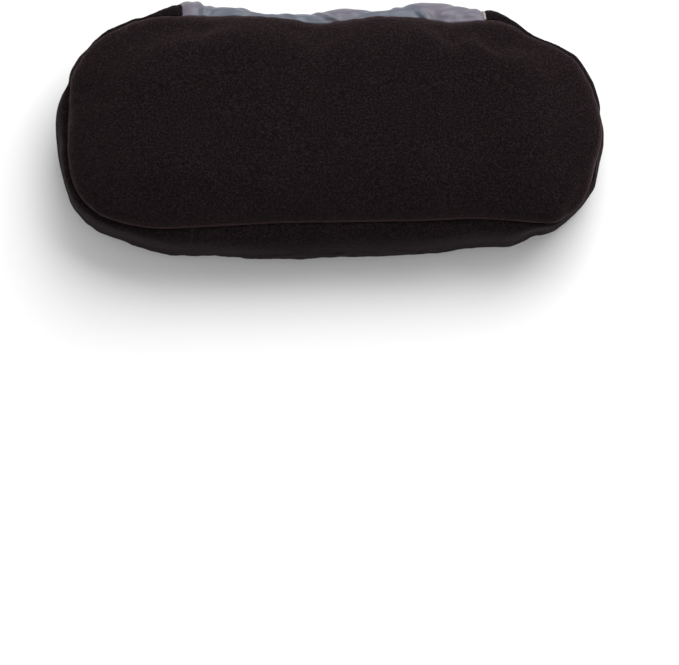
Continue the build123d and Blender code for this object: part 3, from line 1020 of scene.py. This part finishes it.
for name, node, side in (("zipCoilUpper", "zip_row_upper", 1), ("zipCoilLower", "zip_row_lower", -1)):
    finishPiece(makeCoil(name, node, side, coilForm), coilNylon, "zip_coil", "pillow", node)


def addBlock(name, low, high, bevelMm=0.0, segments=3):
    # a block between two corners, its edges rounded
    bpy.ops.object.select_all(action="DESELECT")
    middle = [(a + b) / 2 for a, b in zip(low, high)]
    bpy.ops.mesh.primitive_cube_add(size=1, location=middle, scale=[b - a for a, b in zip(low, high)])
    block = bpy.context.object
    block.name = name
    bpy.ops.object.transform_apply(location=True, rotation=True, scale=True)
    if bevelMm:
        applyModifier(block, "BEVEL", width=bevelMm * mm, segments=segments)
    return block


sliderForm = {
    "lengthMm": 11.0, "wideMm": 8.4, "tailShare": 0.66, "plateMm": 1.2, "cornerMm": 1.6,
    "bridgeOuterMm": 2.65, "bridgeBandMm": 1.0, "bridgeWidthMm": 2.4, "flangeMm": 1.0,
}


def makePlate(name, centreX, lowY, highY, form):
    # a plate that narrows from the nose, where the two coils come in, to the tail
    half = form["wideMm"] / 2 * mm
    plate = addBlock(name, (centreX - form["lengthMm"] / 2 * mm, lowY, zipPlace["middle"] - half),
                     (centreX + form["lengthMm"] / 2 * mm, highY, zipPlace["middle"] + half))
    activate(plate)
    bpy.ops.object.mode_set(mode="EDIT")
    bpy.ops.mesh.select_all(action="SELECT")
    bpy.ops.mesh.subdivide(number_cuts=1)
    bpy.ops.mesh.select_all(action="DESELECT")
    bpy.ops.object.mode_set(mode="OBJECT")
    for polygon in plate.data.polygons:
        polygon.select = polygon.normal.x < -0.9
    bpy.ops.object.mode_set(mode="EDIT")
    bpy.ops.transform.resize(value=(1, 1, form["tailShare"]))
    bpy.ops.object.mode_set(mode="OBJECT")
    bevelWhere(plate, lambda a, b: abs(a.y - b.y) > 0.5 * (highY - lowY), form["cornerMm"] * mm, 5)
    applyModifier(plate, "BEVEL", width=0.28 * mm, segments=3, limit_method="ANGLE",
                  angle_limit=math.radians(45))
    return plate


def makeSlider(form):
    low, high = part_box("zip_slider")
    centreX = (low.x + high.x) / 2
    bridgeBase = high.y - form["bridgeOuterMm"] * mm
    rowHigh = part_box("zip_row_upper")[1].y
    plates = [makePlate("outerPlate", centreX, bridgeBase - form["plateMm"] * mm, bridgeBase, form),
              makePlate("innerPlate", centreX, low.y, low.y + form["plateMm"] * mm, form)]
    web = addBlock("web", (centreX + 1.5 * mm, low.y + 1.0 * mm, zipPlace["middle"] - 0.35 * mm),
                   (centreX + 4.5 * mm, bridgeBase - 1.0 * mm, zipPlace["middle"] + 0.35 * mm), 0.1)
    flanges = []
    for side in (-1, 1):
        edge = zipPlace["middle"] + side * form["wideMm"] / 2 * mm
        inner = edge - side * form["flangeMm"] * mm
        flanges.append(addBlock(
            "flange", (centreX - 1.2 * mm, zipPlace["tapeFace"] + 0.2 * mm, min(edge, inner)),
            (centreX + 4.0 * mm, rowHigh + 0.4 * mm, max(edge, inner)), 0.25))
    # the bridge is a flat bar, spun over half a turn
    bpy.ops.object.select_all(action="DESELECT")
    reach = form["bridgeOuterMm"] - form["bridgeBandMm"] / 2
    bpy.ops.mesh.primitive_plane_add(size=1, location=(centreX + reach * mm, bridgeBase - 0.2 * mm,
                                                       zipPlace["middle"]), rotation=(math.pi / 2, 0, 0))
    bridge = bpy.context.object
    bridge.scale = (form["bridgeBandMm"] * mm, form["bridgeWidthMm"] * mm, 1)
    bpy.ops.object.transform_apply(location=True, rotation=True, scale=True)
    bpy.ops.object.mode_set(mode="EDIT")
    bpy.ops.mesh.select_all(action="SELECT")
    bpy.ops.mesh.spin(steps=12, angle=math.pi, center=(centreX, bridgeBase - 0.2 * mm, zipPlace["middle"]),
                      axis=(0, 0, 1))
    bpy.ops.mesh.select_all(action="SELECT")
    bpy.ops.mesh.remove_doubles(threshold=1e-6)
    bpy.ops.mesh.normals_make_consistent(inside=False)
    bpy.ops.object.mode_set(mode="OBJECT")
    applyModifier(bridge, "BEVEL", width=0.22 * mm, segments=2, limit_method="ANGLE",
                  angle_limit=math.radians(50))
    return joinPieces("zipSlider", plates + [web] + flanges + [bridge])


slider = makeSlider(sliderForm)
finishPiece(slider, gunmetalZinc, "slider_enamel", "slider", "zip_slider")
slider.data.shade_smooth()

pullForm = {"barMm": 0.7, "armMm": 1.0, "holeMm": 1.4, "ridgeCount": 4, "ridgeMm": 0.25, "tabStartMm": 4.0}


def addCylinder(name, radius, length, place, axis, segments=24):
    bpy.ops.object.select_all(action="DESELECT")
    turn = {"y": (math.pi / 2, 0, 0), "z": (0, 0, 0)}[axis]
    bpy.ops.mesh.primitive_cylinder_add(vertices=segments, radius=radius, depth=length, location=place,
                                        rotation=turn)
    made = bpy.context.object
    made.name = name
    bpy.ops.object.transform_apply(location=True, rotation=True, scale=True)
    return made


def makePull(form):
    low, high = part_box("zip_pull")
    hinge = frame["joints"][1]["pos_m"]
    half = (high.z - low.z) / 2
    middle = (high.z + low.z) / 2
    thick = 0.6 * mm
    tabStart = hinge[0] - form["tabStartMm"] * mm
    # the tab, rounded at its free end and drawn in at its neck
    tab = addBlock("pullTab", (low.x, hinge[1] - thick, low.z), (tabStart, hinge[1] + thick, high.z))
    bevelWhere(tab, lambda a, b: abs(a.y - b.y) > thick and a.x < low.x + 1 * mm, half * 0.96, 8)
    bevelWhere(tab, lambda a, b: abs(a.y - b.y) > thick and a.x > tabStart - 0.1 * mm, 1.2 * mm, 3)
    hole = addCylinder("pullHole", form["holeMm"] * mm, 6 * mm, (low.x + half, hinge[1], middle), "y")
    applyModifier(tab, "BOOLEAN", operation="DIFFERENCE", object=hole, solver="EXACT")
    bpy.data.objects.remove(hole)
    applyModifier(tab, "BEVEL", width=0.22 * mm, segments=2, limit_method="ANGLE",
                  angle_limit=math.radians(40))
    parts = [tab]
    for side in (-1, 1):
        inner = middle + side * (high.z - middle - 2.1 * mm)
        outer = inner + side * form["armMm"] * mm
        parts.append(addBlock("pullArm", (tabStart - 0.8 * mm, hinge[1] - thick, min(inner, outer)),
                              (hinge[0] + form["barMm"] * mm, hinge[1] + thick, max(inner, outer)), 0.25))
    parts.append(addCylinder("pullBar", form["barMm"] * mm, 4.4 * mm, (hinge[0], hinge[1], middle), "z", 16))
    for ridge in range(form["ridgeCount"]):  # ridges across the tab give the fingers a hold
        x = low.x + half * 2 + (ridge + 0.6) * 2.0 * mm
        parts.append(addBlock(
            "pullRidge", (x, hinge[1] - thick - form["ridgeMm"] * mm, low.z + 1.1 * mm),
            (x + 0.8 * mm, hinge[1] + thick + form["ridgeMm"] * mm, high.z - 1.1 * mm), 0.2, 2))
    return joinPieces("zipPull", parts)


pull = makePull(pullForm)
finishPiece(pull, gunmetalZinc, "slider_enamel", "pull", "zip_pull")
for piece in (slider, pull):
    activate(piece)
    bpy.ops.object.shade_smooth_by_angle(angle=math.radians(35))

nodeMaterials = {
    "zip_tape_upper": zipTapeWeave, "zip_tape_lower": zipTapeWeave,
    "zip_closed_end_stops": stopMetal, "zip_open_end_stop": stopMetal,
}
for node, material in nodeMaterials.items():
    frame["nodes"][node].data.materials.clear()
    frame["nodes"][node].data.materials.append(material)
print("zip made")


# Floor, light and camera

stageLook = {"floorHex": "#e6e6e6", "worldStrength": 0.71, "keyWatts": 92.0}
bpy.ops.object.select_all(action="DESELECT")
bpy.ops.mesh.primitive_plane_add(size=12, location=(0, 0, 0))
floor = bpy.context.object
floor.name = "paleFloor"
# matt paint: an even pale ground that takes a soft shadow
floorPaint = makePlain("paleFloorPaint", stageLook["floorHex"], 0.9, grainMm=50, bumpMm=0, spread=0.0)
floor.data.materials.append(floorPaint)

world = bpy.data.worlds.new("softStudio")
bpy.context.scene.world = world
world.use_nodes = True
world.node_tree.nodes["Background"].inputs["Color"].default_value = (1, 1, 1, 1)
world.node_tree.nodes["Background"].inputs["Strength"].default_value = stageLook["worldStrength"]


def addSoftbox(name, place, size, watts):
    light = bpy.data.lights.new(name, "AREA")
    light.shape = "SQUARE"
    light.size = size
    light.energy = watts
    lamp = bpy.data.objects.new(name, light)
    bpy.context.scene.collection.objects.link(lamp)
    lamp.location = place
    lamp.rotation_euler = (Vector((0, 0, 0.05)) - Vector(place)).to_track_quat("-Z", "Y").to_euler()


addSoftbox("keyFromRearRight", (0.8, 1.5, 2.2), 2.2, stageLook["keyWatts"])

cameraPlace = {"aimMm": (10.3, -191.2, 60.0), "tiltDegrees": 9.0, "distance": 3.0, "viewWidthMm": 624.6}
tilt = math.radians(cameraPlace["tiltDegrees"])
aim = Vector(cameraPlace["aimMm"]) * mm
camera = bpy.data.objects.new("viewCamera", bpy.data.cameras.new("viewCamera"))
bpy.context.scene.collection.objects.link(camera)
camera.location = aim + cameraPlace["distance"] * Vector((0, -math.sin(tilt), math.cos(tilt)))
camera.rotation_euler = (tilt, 0, 0)
camera.data.sensor_width = 36
camera.data.lens = 36 * cameraPlace["distance"] / (cameraPlace["viewWidthMm"] * mm)
bpy.context.scene.camera = camera
bpy.context.scene.view_settings.view_transform = "Standard"
